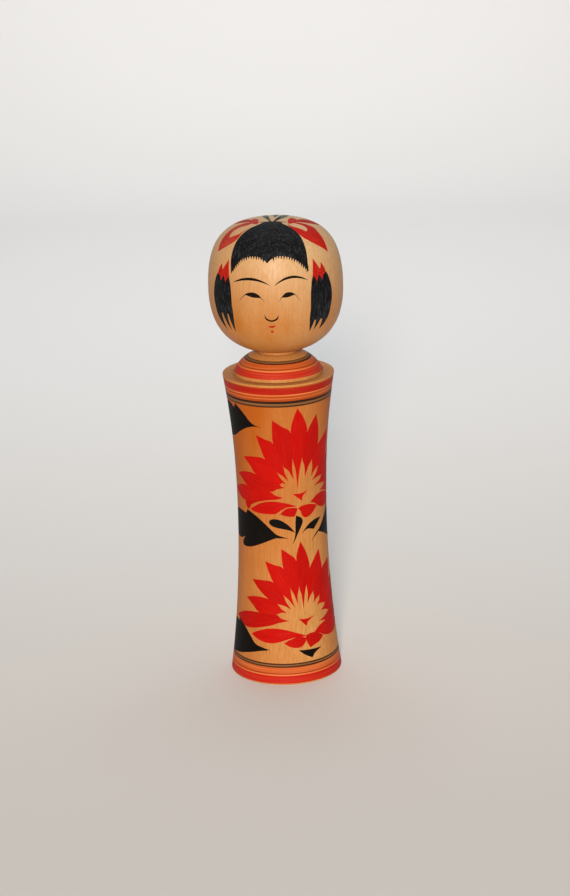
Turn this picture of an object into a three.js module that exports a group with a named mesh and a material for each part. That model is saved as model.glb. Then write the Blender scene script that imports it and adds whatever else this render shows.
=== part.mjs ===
// A turned wooden kokeshi doll in two pieces, body and head, in millimetres with +Z up.
// It stands on the plane z = 0, centred on the Z axis, and its face looks along -Y.
// The head has a turned neck below it that ends in a bulb. The bulb is pressed hot into an undercut
// socket in the body, so the head can be turned round and round by hand but can't be pulled off.
import * as THREE from "three";

// Driving dimensions
const HEIGHT = 240;
const BASE_RADIUS = 29;
const WAIST_RADIUS = 23;
const WAIST_HEIGHT = 86;
const SHOULDER_RADIUS = 28.4;
const SHOULDER_HEIGHT = 160.5;
const COLLAR_HEIGHT = 171.4; // top of the low dome that the head stands on
const HEAD_RADIUS = 34;
const HEAD_WIDEST_HEIGHT = 205.4;
const PLAY = 0.3; // clear space between head and body, all round

// Foot: a flat ring to stand on, round a shallow recess
const FOOT_CHAMFER = 0.5;
const RECESS_RADIUS = 20;
const RECESS_DEPTH = 1;

// Side of the body: how far each stretch keeps the direction that it starts in
const BASE_RUN = 25.2;
const BASE_LEAN = 0.153; // inward per unit of height
const WAIST_RUN_DOWN = 24.5;
const WAIST_RUN_UP = 34.9;
const SHOULDER_RUN = 20.9;
const SHOULDER_LEAN = 0.152; // outward per unit of height

// Shoulder rim, the fine groove inside it, and the dome that rises from the groove
const SHOULDER_ROUND = 0.9;
const RIM_RISE = 0.5;
const DOME_RADIUS = 22.7;
const GROOVE_WIDTH = 0.6;
const GROOVE_DEPTH = 0.5;
const DOME_STEP = 0.8; // upright edge at the foot of the dome
const DOME_BULGE = 3; // how far the dome's control point stands off its chord
const COLLAR_RADIUS = 11.4;

// Neck, bulb and socket
const NECK_RADIUS = 10.6;
const TENON_RADIUS = 6.2;
const TENON_LENGTH = 7;
const BULB_RADIUS = 7.4;
const BULB_LENGTH = 9;

// Head
const CHIN_RADIUS = 11;
const CHIN_HEIGHT = 173.2;
const CHIN_RUN = 14.1;
const CHIN_ANGLE = THREE.MathUtils.degToRad(13.9);
const CHEEK_RUN = 20.1; // straight run below the widest ring
const TEMPLE_RUN = 25.5; // and above it
const CROWN_RUN = 25.2; // flat run outward from the top

// How finely the surfaces are faceted
const TURN_STEPS = 48;
const LONG_STEPS = 8;
const SHORT_STEPS = 5;

const point = (radius, height) => new THREE.Vector2(radius, height);

// A smooth stretch of profile between two points, with its two control points.
function sweep(start, startControl, endControl, end, steps) {
  return new THREE.CubicBezierCurve(start, startControl, endControl, end).getPoints(steps);
}

// A profile is a run of points and stretches, from the axis round to the axis again.
function turned(name, stretches, material) {
  const outline = stretches.flat().filter((p, i, all) => i === 0 || p.distanceTo(all[i - 1]) > 1e-6);
  const shape = new THREE.LatheGeometry(outline, TURN_STEPS);
  shape.rotateX(Math.PI / 2); // the lathe's axis is Y, and the doll stands along Z
  const mesh = new THREE.Mesh(shape, material);
  mesh.name = name;
  return mesh;
}

// The foot, from the middle of the recess to the top of the chamfer.
function foot() {
  return [
    point(0, RECESS_DEPTH),
    point(RECESS_RADIUS - RECESS_DEPTH, RECESS_DEPTH),
    point(RECESS_RADIUS, 0),
    point(BASE_RADIUS - FOOT_CHAMFER, 0),
  ];
}

// The side of the body: in from the foot to the waist, then out to the shoulder.
function side() {
  const waist = point(WAIST_RADIUS, WAIST_HEIGHT);
  const base = point(BASE_RADIUS, FOOT_CHAMFER);
  const shoulder = point(SHOULDER_RADIUS, SHOULDER_HEIGHT);
  return [
    sweep(
      base,
      point(BASE_RADIUS - BASE_LEAN * BASE_RUN, BASE_RUN),
      point(WAIST_RADIUS, WAIST_HEIGHT - WAIST_RUN_DOWN),
      waist,
      LONG_STEPS,
    ),
    sweep(
      waist,
      point(WAIST_RADIUS, WAIST_HEIGHT + WAIST_RUN_UP),
      point(SHOULDER_RADIUS - SHOULDER_LEAN * SHOULDER_RUN, SHOULDER_HEIGHT - SHOULDER_RUN),
      shoulder,
      LONG_STEPS,
    ),
  ].flat();
}

// The rim of the shoulder, the groove, and the dome up to the mouth of the socket.
function shoulder() {
  const rimHeight = SHOULDER_HEIGHT + RIM_RISE;
  const groove = DOME_RADIUS + GROOVE_WIDTH;
  const domeFoot = point(DOME_RADIUS, rimHeight + DOME_STEP);
  const collar = point(COLLAR_RADIUS, COLLAR_HEIGHT);
  const across = new THREE.Vector2().subVectors(domeFoot, collar).normalize();
  const crown = domeFoot.clone().lerp(collar, 0.5);
  crown.add(point(-across.y, across.x).multiplyScalar(DOME_BULGE));
  return [
    point(SHOULDER_RADIUS - SHOULDER_ROUND * 0.3, SHOULDER_HEIGHT + RIM_RISE * 0.6),
    point(SHOULDER_RADIUS - SHOULDER_ROUND, SHOULDER_HEIGHT + RIM_RISE * 0.8),
    point(groove, rimHeight),
    point(groove, rimHeight - GROOVE_DEPTH),
    point(DOME_RADIUS, rimHeight - GROOVE_DEPTH),
    new THREE.QuadraticBezierCurve(domeFoot, crown, collar).getPoints(SHORT_STEPS),
  ].flat();
}

// The neck below the head's chin, or the socket that fits round it when play is added:
// a straight tenon, then the wider bulb with its round end on the axis.
function tenon(topHeight, play) {
  const straight = point(TENON_RADIUS + play, topHeight - TENON_LENGTH);
  const widest = point(BULB_RADIUS + play, straight.y - BULB_LENGTH * 0.4);
  const tip = point(0, straight.y - BULB_LENGTH);
  return [
    point(TENON_RADIUS + play, topHeight),
    straight,
    sweep(
      widest,
      point(widest.x, widest.y - BULB_LENGTH * 0.4),
      point(TENON_RADIUS, tip.y),
      tip,
      SHORT_STEPS,
    ),
  ].flat();
}

const bodyWood = new THREE.MeshStandardMaterial({ color: 0xd0883f, roughness: 0.4, metalness: 0 });
const headWood = new THREE.MeshStandardMaterial({ color: 0xd8955a, roughness: 0.4, metalness: 0 });

const socket = tenon(COLLAR_HEIGHT, PLAY);
const body = turned("body", [foot(), side(), shoulder(), socket], bodyWood);

// The head is drawn downwards from its crown and then turned round, so that its faces point out.
const neckHeight = COLLAR_HEIGHT + PLAY;
const headOutline = [
  sweep(
    point(0, HEIGHT),
    point(CROWN_RUN, HEIGHT),
    point(HEAD_RADIUS, HEAD_WIDEST_HEIGHT + TEMPLE_RUN),
    point(HEAD_RADIUS, HEAD_WIDEST_HEIGHT),
    LONG_STEPS,
  ),
  sweep(
    point(HEAD_RADIUS, HEAD_WIDEST_HEIGHT),
    point(HEAD_RADIUS, HEAD_WIDEST_HEIGHT - CHEEK_RUN),
    point(
      CHIN_RADIUS + CHIN_RUN * Math.cos(CHIN_ANGLE),
      CHIN_HEIGHT + CHIN_RUN * Math.sin(CHIN_ANGLE),
    ),
    point(CHIN_RADIUS, CHIN_HEIGHT),
    LONG_STEPS,
  ),
  point(NECK_RADIUS, CHIN_HEIGHT),
  point(NECK_RADIUS, neckHeight),
  tenon(neckHeight, 0),
].flat();
const head = turned("head", [headOutline.reverse()], headWood);

const doll = new THREE.Group();
doll.add(body, head);

export default doll;
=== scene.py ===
"""A turned and painted kokeshi doll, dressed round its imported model.

The doll is two turned pieces of waxed dogwood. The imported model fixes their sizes, and this script
turns each one again with a fine surface, then lays every painted band, petal, leaf and lock on it as
a thin closed film of dye or ink. All lengths in the classes are millimetres; meshes are in metres.
"""

from __future__ import annotations

import logging
import math
from dataclasses import dataclass, field, replace
from enum import Enum
from typing import Any, Sequence

import bpy
import numpy as np
from mathutils import Matrix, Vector
from numpy.typing import NDArray

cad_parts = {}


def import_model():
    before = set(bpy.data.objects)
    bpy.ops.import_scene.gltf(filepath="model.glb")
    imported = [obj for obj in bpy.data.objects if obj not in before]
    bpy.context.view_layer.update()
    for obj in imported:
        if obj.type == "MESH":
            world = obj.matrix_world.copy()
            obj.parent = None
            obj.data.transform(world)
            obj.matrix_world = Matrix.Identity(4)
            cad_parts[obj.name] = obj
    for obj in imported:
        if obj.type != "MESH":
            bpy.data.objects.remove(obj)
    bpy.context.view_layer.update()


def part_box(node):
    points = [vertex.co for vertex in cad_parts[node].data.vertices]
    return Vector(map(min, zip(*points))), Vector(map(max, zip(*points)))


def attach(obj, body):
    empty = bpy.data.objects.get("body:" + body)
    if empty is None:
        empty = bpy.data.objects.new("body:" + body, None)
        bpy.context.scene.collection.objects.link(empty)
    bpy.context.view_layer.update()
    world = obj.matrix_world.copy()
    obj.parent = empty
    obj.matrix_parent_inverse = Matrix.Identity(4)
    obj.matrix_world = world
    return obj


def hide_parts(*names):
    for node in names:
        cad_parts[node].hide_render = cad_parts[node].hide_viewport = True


Array = NDArray[np.float64]
Point = tuple[float, float]
Point3 = tuple[float, float, float]
Runs = Sequence[Sequence[Point]]

MM = 0.001
SINK = 0.05  # how far a film of dye reaches into the wood, in millimetres
GOLDEN = 0.618  # share of a turn that spreads the tones of neighbouring strokes evenly
STREAK_SHIFT = 37.0  # how far along its streaks each stroke starts after the one before
TURN_STEPS = 300  # angles round a turned solid
log = logging.getLogger("kokeshi")


class Body(Enum):
    """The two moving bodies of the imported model."""

    BODY = "body"
    HEAD = "head"


class Slot(Enum):
    """The record's material slots."""

    BODY_WOOD = "body_wood"
    HEAD_WOOD = "head_wood"
    RED = "red_dye"
    ORANGE = "orange_dye"
    BLACK = "black_ink"
    GREEN = "grey_green_dye"


# ---------------------------------------------------------------------------------------------
# Curves and surfaces
# ---------------------------------------------------------------------------------------------


def bezier(start: Point, start_control: Point, end_control: Point, end: Point, steps: int) -> Array:
    """Points along a cubic Bezier curve: the four points weighted by (1-t)^3, 3(1-t)^2 t, 3(1-t)t^2 and t^3.

    Args:
        start: First point.
        start_control: Point that the curve leaves the start towards.
        end_control: Point that the curve reaches the end from.
        end: Last point.
        steps: Number of stretches between points.

    Returns:
        An array of steps + 1 points.
    """
    t = np.linspace(0.0, 1.0, steps + 1)[:, None]
    weights = ((1 - t) ** 3, 3 * (1 - t) ** 2 * t, 3 * (1 - t) * t**2, t**3)
    corners = (start, start_control, end_control, end)
    return sum(w * np.asarray(c, float) for w, c in zip(weights, corners))


def smooth(points: Sequence[Point], count: int) -> Array:
    """A smooth curve through points: a Catmull-Rom spline, resampled to even arc length.

    Args:
        points: The points that the curve passes, in order.
        count: How many points to return.

    Returns:
        An array of count points, the first and last ones included.
    """
    p = np.asarray(points, float)
    if len(p) == 2:
        return p[0] + np.linspace(0.0, 1.0, count)[:, None] * (p[1] - p[0])
    padded = np.vstack([2 * p[0] - p[1], p, 2 * p[-1] - p[-2]])
    t = np.linspace(0.0, 1.0, 24, endpoint=False)[None, :, None]
    a, b, c, d = (padded[i : len(p) - 1 + i, None] for i in range(4))
    curve = 0.5 * (
        2 * b + (c - a) * t + (2 * a - 5 * b + 4 * c - d) * t**2 + (3 * b - a - 3 * c + d) * t**3
    )
    return resample(np.vstack([curve.reshape(-1, 2), p[-1:]]), count)


def resample(line: Array, count: int) -> Array:
    """A line's points, spaced evenly along its length.

    Args:
        line: Points along the line.
        count: How many points to return.

    Returns:
        An array of count points.
    """
    along = arc_lengths(line)
    even = np.linspace(0.0, along[-1], count)
    return np.stack([np.interp(even, along, line[:, k]) for k in (0, 1)], axis=-1)


def arc_lengths(line: Array) -> Array:
    """The distance along a line to each of its points.

    Args:
        line: Points along the line.

    Returns:
        One length per point, starting from zero.
    """
    steps = np.hypot(*np.diff(line, axis=0).T)
    return np.concatenate([[0.0], np.cumsum(steps)])


@dataclass(frozen=True)
class Shell:
    """Vertices and four-sided faces of one or more closed surfaces.

    Attributes:
        vertices: One row of x, y and z per vertex, in millimetres.
        faces: One row of four vertex numbers per face.
        flow: Where each vertex lies on its brush stroke: along it, across it, and the stroke's own tone.
    """

    vertices: Array
    faces: NDArray[np.int64]
    flow: Array

    @staticmethod
    def joined(shells: Sequence[Shell]) -> Shell:
        """Several shells as one.

        Args:
            shells: The shells to join.

        Returns:
            One shell that holds them all, each still closed.
        """
        starts = np.cumsum([0] + [len(s.vertices) for s in shells[:-1]])
        return Shell(
            np.vstack([s.vertices for s in shells]),
            np.vstack([s.faces + start for s, start in zip(shells, starts)]),
            np.vstack([s.flow for s in shells]),
        )

    def outward(self) -> Shell:
        """This shell with its faces turned to point out, if its enclosed volume comes out negative.

        Returns:
            The shell itself, or one with every face reversed.
        """
        a, b, c, d = (self.vertices[self.faces[:, k]] for k in range(4))
        volume = np.sum(a * np.cross(b, c)) + np.sum(a * np.cross(c, d))
        return self if volume > 0 else Shell(self.vertices, self.faces[:, [1, 0, 3, 2]], self.flow)

    def build(self, name: str, sharp_degrees: float = 40.0) -> bpy.types.Object:
        """Makes the Blender object, smooth but for edges sharper than an angle.

        Args:
            name: The object's name.
            sharp_degrees: Faces that meet at more than this stay crisp.

        Returns:
            The new object, at the origin, with its place in its mesh.
        """
        mesh = bpy.data.meshes.new(name)
        mesh.vertices.add(len(self.vertices))
        mesh.vertices.foreach_set("co", (self.vertices * MM).astype(np.float32).ravel())
        triangles = self.faces[:, 2] == self.faces[:, 3]
        counts = np.where(triangles, 3, 4)
        keep = np.ones(self.faces.shape, bool)
        keep[triangles, 3] = False
        corners = self.faces[keep]
        mesh.loops.add(len(corners))
        mesh.loops.foreach_set("vertex_index", corners.astype(np.int32))
        mesh.polygons.add(len(self.faces))
        mesh.polygons.foreach_set("loop_start", (np.cumsum(counts) - counts).astype(np.int32))
        mesh.update(calc_edges=True)
        uv = mesh.uv_layers.new(name="brush")
        uv.data.foreach_set("uv", self.flow[corners, :2].astype(np.float32).ravel())
        tone = mesh.attributes.new("tone", "FLOAT", "POINT")
        tone.data.foreach_set("value", self.flow[:, 2].astype(np.float32))
        mesh.validate()
        mesh.shade_smooth()
        mesh.set_sharp_from_angle(angle=np.radians(sharp_degrees))
        made = bpy.data.objects.new(name, mesh)
        bpy.context.scene.collection.objects.link(made)
        return made


def grid_faces(rows: int, columns: int, wrap_rows: bool) -> NDArray[np.int64]:
    """The four-sided faces of a grid of vertices that are numbered row by row.

    Args:
        rows: Number of rows of vertices.
        columns: Number of vertices in a row.
        wrap_rows: Whether the last row joins the first.

    Returns:
        One row of four vertex numbers per face.
    """
    i = np.arange(rows if wrap_rows else rows - 1)[:, None]
    j = np.arange(columns - 1)[None]
    k = (i + 1) % rows
    corners = (i * columns + j, k * columns + j, k * columns + j + 1, i * columns + j + 1)
    return np.stack(np.broadcast_arrays(*corners), axis=-1).reshape(-1, 4)


def film_shell(top: Array, bottom: Array, flow: Array, wrap_rows: bool = False) -> Shell:
    """A closed film between an upper and a lower sheet that are the same grid of points.

    The two sheets are joined by a wall along each open border, so that nothing is left open.

    Args:
        top: Grid of points of the upper sheet, rows by columns by three.
        bottom: The same grid for the lower sheet.
        flow: Grid of along, across and tone, which both sheets share.
        wrap_rows: Whether the film runs all round, so that its last row joins its first.

    Returns:
        The closed film.
    """
    rows, columns = top.shape[:2]
    size = rows * columns
    sheet = grid_faces(rows, columns, wrap_rows)
    index = np.arange(size).reshape(rows, columns)
    borders = [index[:, 0], index[::-1, -1]]
    if wrap_rows:
        borders = [np.append(line, line[0]) for line in borders]
    else:
        borders += [index[-1], index[0, ::-1]]
    walls = [np.stack([b[:-1], b[:-1] + size, b[1:] + size, b[1:]], axis=-1) for b in borders]
    faces = np.vstack([sheet, sheet[:, ::-1] + size, *walls])
    points = np.vstack([top.reshape(-1, 3), bottom.reshape(-1, 3)])
    return Shell(points, faces, np.tile(flow.reshape(-1, 3), (2, 1))).outward()


@dataclass(frozen=True)
class Turning:
    """A surface of revolution about Z, from its outline in radius and height.

    Attributes:
        outline: Points of radius and height, from one end of the outline to the other.
    """

    outline: Array

    def solid(self, steps: int) -> Shell:
        """The closed solid that the outline sweeps, if it starts and ends on the axis.

        Each point (r, h) goes to (r sin a, -r cos a, h) for every angle a, and the two points on
        the axis each become one vertex that closes its pole.

        Args:
            steps: Number of angles round the axis.

        Returns:
            The closed solid.
        """
        ring = self.outline[1:-1]
        angle = np.linspace(0.0, 2 * np.pi, steps, endpoint=False)[:, None]
        height = np.broadcast_to(ring[:, 1], (steps, len(ring)))
        points = np.stack([ring[:, 0] * np.sin(angle), -ring[:, 0] * np.cos(angle), height], axis=-1)
        count = len(ring)
        faces = grid_faces(steps, count, True)
        first = np.arange(steps) * count
        after = np.roll(first, -1)
        start = np.full(steps, steps * count)
        end = start + 1
        caps = [
            np.stack([after, first, start, start], axis=-1),
            np.stack([first + count - 1, after + count - 1, end, end], axis=-1),
        ]
        poles = np.array([[0.0, 0.0, self.outline[0, 1]], [0.0, 0.0, self.outline[-1, 1]]])
        vertices = np.vstack([points.reshape(-1, 3), poles])
        return Shell(vertices, np.vstack([faces, *caps]), np.zeros((len(vertices), 3))).outward()

    def place(self, angle: Array, arc: Array, lift: float | Array) -> Array:
        """Points on the surface, or a little off it along its normal.

        Args:
            angle: Angle about Z in radians, from -Y towards +X.
            arc: Distance along the outline.
            lift: Distance outwards from the surface.

        Returns:
            Points of x, y and z, of the same shape as the angles.
        """
        along = arc_lengths(self.outline)
        slope = np.gradient(self.outline, along, axis=0)
        radius = np.interp(arc, along, self.outline[:, 0]) + lift * np.interp(arc, along, slope[:, 1])
        height = np.interp(arc, along, self.outline[:, 1]) - lift * np.interp(arc, along, slope[:, 0])
        return np.stack([radius * np.sin(angle), -radius * np.cos(angle), height], axis=-1)

    def arc_at(self, height: float | Array) -> Array:
        """How far along the outline a height is, on an outline that only rises.

        Args:
            height: One height or many.

        Returns:
            The distance along the outline to each.
        """
        return np.interp(height, self.outline[:, 1], arc_lengths(self.outline))


# ---------------------------------------------------------------------------------------------
# Painting
# ---------------------------------------------------------------------------------------------


@dataclass(frozen=True)
class SidePaper:
    """Flat paper wrapped round the side of a turning, so that shapes can be drawn in millimetres.

    A point (u, v) goes to the angle axis + u / radius. v is a height on the body, or a distance up
    the outline on the head.

    Attributes:
        turning: The surface that the paper lies on.
        radius: Radius at which u is a true length.
        axis_degrees: Angle of u = 0, from -Y towards +X.
        by_height: Whether v is a height and not a distance along the outline.
    """

    turning: Turning
    radius: float
    axis_degrees: float
    by_height: bool

    def place(self, points: Array, lift: float) -> Array:
        """Paper points on the surface.

        Args:
            points: Points of u and v.
            lift: Distance outwards from the surface.

        Returns:
            Points of x, y and z.
        """
        angle = np.radians(self.axis_degrees) + points[..., 0] / self.radius
        arc = self.turning.arc_at(points[..., 1]) if self.by_height else points[..., 1]
        return self.turning.place(angle, arc, lift)


@dataclass(frozen=True)
class CrownPaper:
    """Flat paper pressed over the top of a turning: a point's distance from the middle is kept.

    A point (u, v) lies hypot(u, v) along the surface from the pole, in its own direction, with -v
    towards the face and u towards the doll's left.

    Attributes:
        turning: The surface, whose outline ends at the pole.
        axis_degrees: Angle of the -v direction, from -Y towards +X.
    """

    turning: Turning
    axis_degrees: float

    def place(self, points: Array, lift: float) -> Array:
        """Paper points on the surface.

        Args:
            points: Points of u and v.
            lift: Distance outwards from the surface.

        Returns:
            Points of x, y and z.
        """
        away = np.hypot(points[..., 0], points[..., 1])
        angle = np.arctan2(points[..., 0], -points[..., 1]) + np.radians(self.axis_degrees)
        return self.turning.place(angle, arc_lengths(self.turning.outline)[-1] - away, lift)


Paper = SidePaper | CrownPaper


@dataclass(frozen=True)
class Patch:
    """A painted shape between two edges, each drawn as smooth runs that meet at points.

    The surface is (1 - t) times the first edge plus t times the second, for t from 0 to 1.

    Attributes:
        first: Smooth runs of the first edge.
        second: Smooth runs of the second edge, the same way along.
    """

    first: Runs
    second: Runs

    def edges(self, count: int) -> tuple[Array, Array]:
        """Both edges, as the same number of points.

        Args:
            count: How many points to put along each run together.

        Returns:
            The two edges.
        """
        lines = []
        for runs in (self.first, self.second):
            share = count // len(runs)
            pieces = [smooth(run, share)[: None if run is runs[-1] else -1] for run in runs]
            lines.append(np.vstack(pieces))
        longest = max(len(line) for line in lines)
        return tuple(line if len(line) == longest else resample(line, longest) for line in lines)


@dataclass(frozen=True)
class Stroke:
    """One press and lift of a brush: a curved middle line and a width that swells and tapers.

    The middle line is a parabola from start to end that stands off its chord by bend times its
    length. The half width is width * (t/b)^lead * ((1-t)/(1-b))^trail, with its widest place b at
    lead / (lead + trail).

    Attributes:
        start: Where the brush comes down.
        end: Where it lifts off.
        width: Widest half width.
        bend: How far the middle stands off to the left of the way along, as a share of the length.
        lead: How slowly the width grows: 0.5 is round, 1 is a plain point, more is a fine point.
        trail: The same for how it tapers away.
    """

    start: Point
    end: Point
    width: float
    bend: float = 0.0
    lead: float = 1.0
    trail: float = 1.0

    def edges(self, count: int) -> tuple[Array, Array]:
        """Both edges of the stroke.

        Args:
            count: How many points to put along each.

        Returns:
            The two edges.
        """
        t = 0.5 - 0.5 * np.cos(np.linspace(0.0, np.pi, count))[:, None]
        start, end = np.asarray(self.start), np.asarray(self.end)
        chord = end - start
        left = np.array([-chord[1], chord[0]])
        middle = start + t * chord + 4 * t * (1 - t) * self.bend * left
        tangent = chord + 4 * (1 - 2 * t) * self.bend * left
        normal = np.stack([-tangent[:, 1], tangent[:, 0]], axis=-1)
        normal /= np.hypot(*normal.T)[:, None]
        widest = self.lead / (self.lead + self.trail)
        swell = (t / widest) ** self.lead * ((1 - t) / (1 - widest)) ** self.trail
        reach = np.maximum(self.width * swell, 0.01) * normal
        return middle + reach, middle - reach


def pointed(start: Point, end: Point, first: Runs, second: Runs) -> Patch:
    """A shape whose two edges meet at both ends, written without the points that runs share.

    Args:
        start: Where both edges start.
        end: Where both end.
        first: Runs of the first edge; each but the last ends at a corner, where the next starts.
        second: Runs of the second edge.

    Returns:
        The shape.
    """
    edges = []
    for runs in (first, second):
        heads = [start, *(run[-1] for run in runs[:-1])]
        tails = [*runs[:-1], [*runs[-1], end]]
        edges.append([[head, *tail] for head, tail in zip(heads, tails)])
    return Patch(*edges)


@dataclass(frozen=True)
class Fan:
    """A fan of petals that touch each other, with a gap before and after each one.

    Attributes:
        tips: The outer point of each petal, in order round the heart.
        roots: Where each petal's thin tail ends, at the heart of the flower.
        bows: How far each petal's two edges bow out between its tip and the valleys beside it.
        valleys: Where two petals meet on the outside, one more than there are petals.
        slivers: Where they part again on the way to the heart, as many as the valleys.
        pinch: How far each tail's edges draw in, as a share of the way to its middle.
    """

    tips: Sequence[Point]
    roots: Sequence[Point]
    bows: Sequence[Point]
    valleys: Sequence[Point]
    slivers: Sequence[Point]
    pinch: float = 0.34

    def patches(self) -> list[Patch]:
        """The petals as shapes.

        Each edge runs smoothly from the tip past the valley and the sliver to the root. Between tip
        and valley it bows out, and between sliver and root it draws in.

        Returns:
            One shape per petal.
        """
        shapes = []
        valleys = np.array(self.valleys, float)
        slivers = np.array(self.slivers, float)
        petals = zip(np.array(self.tips, float), np.array(self.roots, float), self.bows)
        for number, (tip, root, bows) in enumerate(petals):
            gaps = slice(number, number + 2)
            tail = sum(slivers[gaps]) / 4 + root / 2
            edges = []
            for valley, sliver, bow, turn in zip(valleys[gaps], slivers[gaps], bows, (1, -1)):
                along = (valley - tip) / np.hypot(*(valley - tip))
                bowed = (tip + valley) / 2 + bow * turn * np.array([along[1], -along[0]])
                drawn = 0.6 * sliver + 0.4 * root
                drawn = drawn + self.pinch * (tail - drawn)
                edges.append([np.array([tip, bowed, valley, sliver, drawn, root])])
            shapes.append(Patch(*edges))
        return shapes


@dataclass(frozen=True)
class Brush:
    """Lays painted shapes on a surface as thin closed films.

    Attributes:
        paper: The paper that the shapes are drawn on.
        lift: How far the film's upper face stands off the wood.
        stack: How much higher each shape of a piece lies than the one before.
        step: Widest gap between the film's points, fine enough to follow the round wood.
    """

    paper: Paper
    lift: float = 0.02
    stack: float = 0.002
    step: float = 0.8

    def lay(self, shape: Stroke | Patch, number: int) -> Shell:
        """One painted shape.

        Args:
            shape: The shape.
            number: Its place in the order of painting, which lifts it a hair above the ones before.

        Returns:
            The film.
        """
        length = arc_lengths(shape.edges(60)[0])[-1]
        first, second = shape.edges(int(np.clip(length / self.step, 20, 160)))
        span = np.hypot(*(second - first).T)
        columns = int(np.clip(np.ceil(span.max() / self.step), 2, 60)) + 1
        t = np.linspace(0.0, 1.0, columns)[None, :, None]
        grid = first[:, None] * (1 - t) + second[:, None] * t
        along = np.broadcast_to(arc_lengths(first)[:, None], grid.shape[:2])
        across = (t[..., 0] - 0.5) * span[:, None]
        tone = np.full(grid.shape[:2], (number * GOLDEN) % 1.0)
        flow = np.stack([along + STREAK_SHIFT * number, across, tone], axis=-1)
        top = self.paper.place(grid, self.lift + self.stack * number)
        return film_shell(top, self.paper.place(grid, -SINK), flow)

    def paint(self, shapes: Sequence[Stroke | Patch]) -> Shell:
        """Several shapes as one piece, each a hair above the one before.

        Args:
            shapes: The shapes, in the order of painting.

        Returns:
            The films, joined.
        """
        return Shell.joined([self.lay(shape, number) for number, shape in enumerate(shapes)])


def band(turning: Turning, low: float, high: float, lift: float, steps: int = 288) -> Shell:
    """A dyed ring all round a turning, laid on while it spins.

    Args:
        turning: The surface.
        low: Where along the outline the ring starts.
        high: Where it ends.
        lift: How far its upper face stands off the wood.
        steps: Number of angles round the axis.

    Returns:
        The ring as a closed film.
    """
    angle = np.linspace(0.0, 2 * np.pi, steps, endpoint=False)[:, None]
    rows = int(np.clip((high - low) / 0.4, 2, 40)) + 1
    arc = np.linspace(low, high, rows)[None]
    grid = np.broadcast_arrays(angle, arc)
    flow = np.stack([grid[0] * 25.0, (grid[1] - low) / (high - low), np.zeros_like(grid[0])], axis=-1)
    top = turning.place(*grid, lift)
    return film_shell(top, turning.place(*grid, -SINK), flow, wrap_rows=True)


# ---------------------------------------------------------------------------------------------
# The drawings, in millimetres on the papers that they are painted on
# ---------------------------------------------------------------------------------------------

Shapes = list[Stroke | Patch]

# Each flower is a fan of petals above a row of small ones and a heart. On the body's paper, v is a
# height and u runs to the doll's left.
UPPER_FLOWER: Shapes = [
    Patch(
        [[(-29.8, 92.2), (-31.4, 94.6), (-31.5, 96.8), (-27, 100), (-17, 101.5), (-8.7, 100.4)]],
        [[(-29.8, 92.2), (-27.9, 93.6), (-27.2, 95.2), (-22.5, 97.5), (-16.9, 98.9),
         (-11.7, 99.5), (-8.7, 100.3)]],
    ),
    *Fan(
        tips=[
            (-43, 101.1), (-37.6, 110.3), (-31, 120.6), (-21.6, 133.8), (-12.8, 142.2), (-0.8, 148.1),
            (9.9, 143), (22, 132.4), (31, 120.5), (38, 110), (42.5, 101)
        ],
        roots=[
            (-8.7, 100.4), (-7.5, 105.8), (-6.9, 107.6), (-5.5, 108.9), (-2.8, 109.8), (-0.6, 104.7),
            (3.7, 110.5), (7.5, 109.7), (8.3, 107.5), (9.9, 104.4), (14.5, 100.6)
        ],
        bows=[
            (0.8, 1.1), (0, 1.3), (-0.3, 0.9), (0.2, 0.3), (0.4, 0.2), (0.6, 1), (0.35, 1.1),
            (0.4, 0.9), (0.3, 0.9), (0.6, 0.9), (0.9, 0.8)
        ],
        valleys=[
            (-31.5, 96.8), (-29.2, 105.25), (-22.8, 112.3), (-17.3, 121), (-12.6, 129.3), (-4.1, 134.9),
            (4.7, 133.9), (12.2, 125.8), (20.5, 117.5), (26, 110), (29.5, 103), (31, 96)
        ],
        slivers=[
            (-18, 99.6), (-15.9, 103.5), (-10.6, 107.9), (-11.9, 114.5), (-8.3, 117.9), (-3.2, 121.6),
            (2.1, 121.3), (8.4, 119.2), (13.6, 114.6), (17.4, 108.5), (21.2, 103.5), (23, 98)
        ],
    ).patches(),
    pointed(
        (-28, 92.7), (-1.2, 95.2),
        [[(-24.9, 94.8), (-20.9, 97), (-16.9, 98.1), (-12.9, 98.3), (-8.9, 97.7), (-4.9, 96.6)]],
        [[(-24.9, 91.8), (-20.9, 91.4), (-16.9, 91.4), (-13, 91.5)], [(-8.7, 94.2), (-6.4, 95)]],
    ),
    pointed(
        (-10.5, 91.5), (-0.9, 94.1),
        [[(-8.6, 93.3), (-6.5, 94.4), (-3.3, 94.6)]],
        [[(-7.7, 90.4), (-4.9, 89.9), (-2.6, 89.8)], [(-1.6, 92)]],
    ),
    pointed(
        (-0.7, 94.1), (11.9, 93.3),
        [[(1.5, 95), (4.3, 95.3), (7.1, 95), (9.9, 94.2)]],
        [[(0.7, 92.4), (1.5, 90.3), (2.7, 88.8), (4.8, 88.4), (7.5, 89.5), (9.9, 91.3)]],
    ),
    pointed(
        (6.8, 96), (30, 94.2),
        [[(9.9, 97.9), (13.1, 99.2), (17.1, 99.2), (22, 98)]],
        [[(10.3, 94.7), (12.7, 92.8), (15.9, 91.4), (20, 90.9), (25, 91.8)]],
    ),
    pointed(
        (-3.5, 102), (5.5, 102.9),
        [[(1, 101.9)]],
        [[(1.7, 97.7)], [(2.5, 100.6)]],
    ),
]
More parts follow.
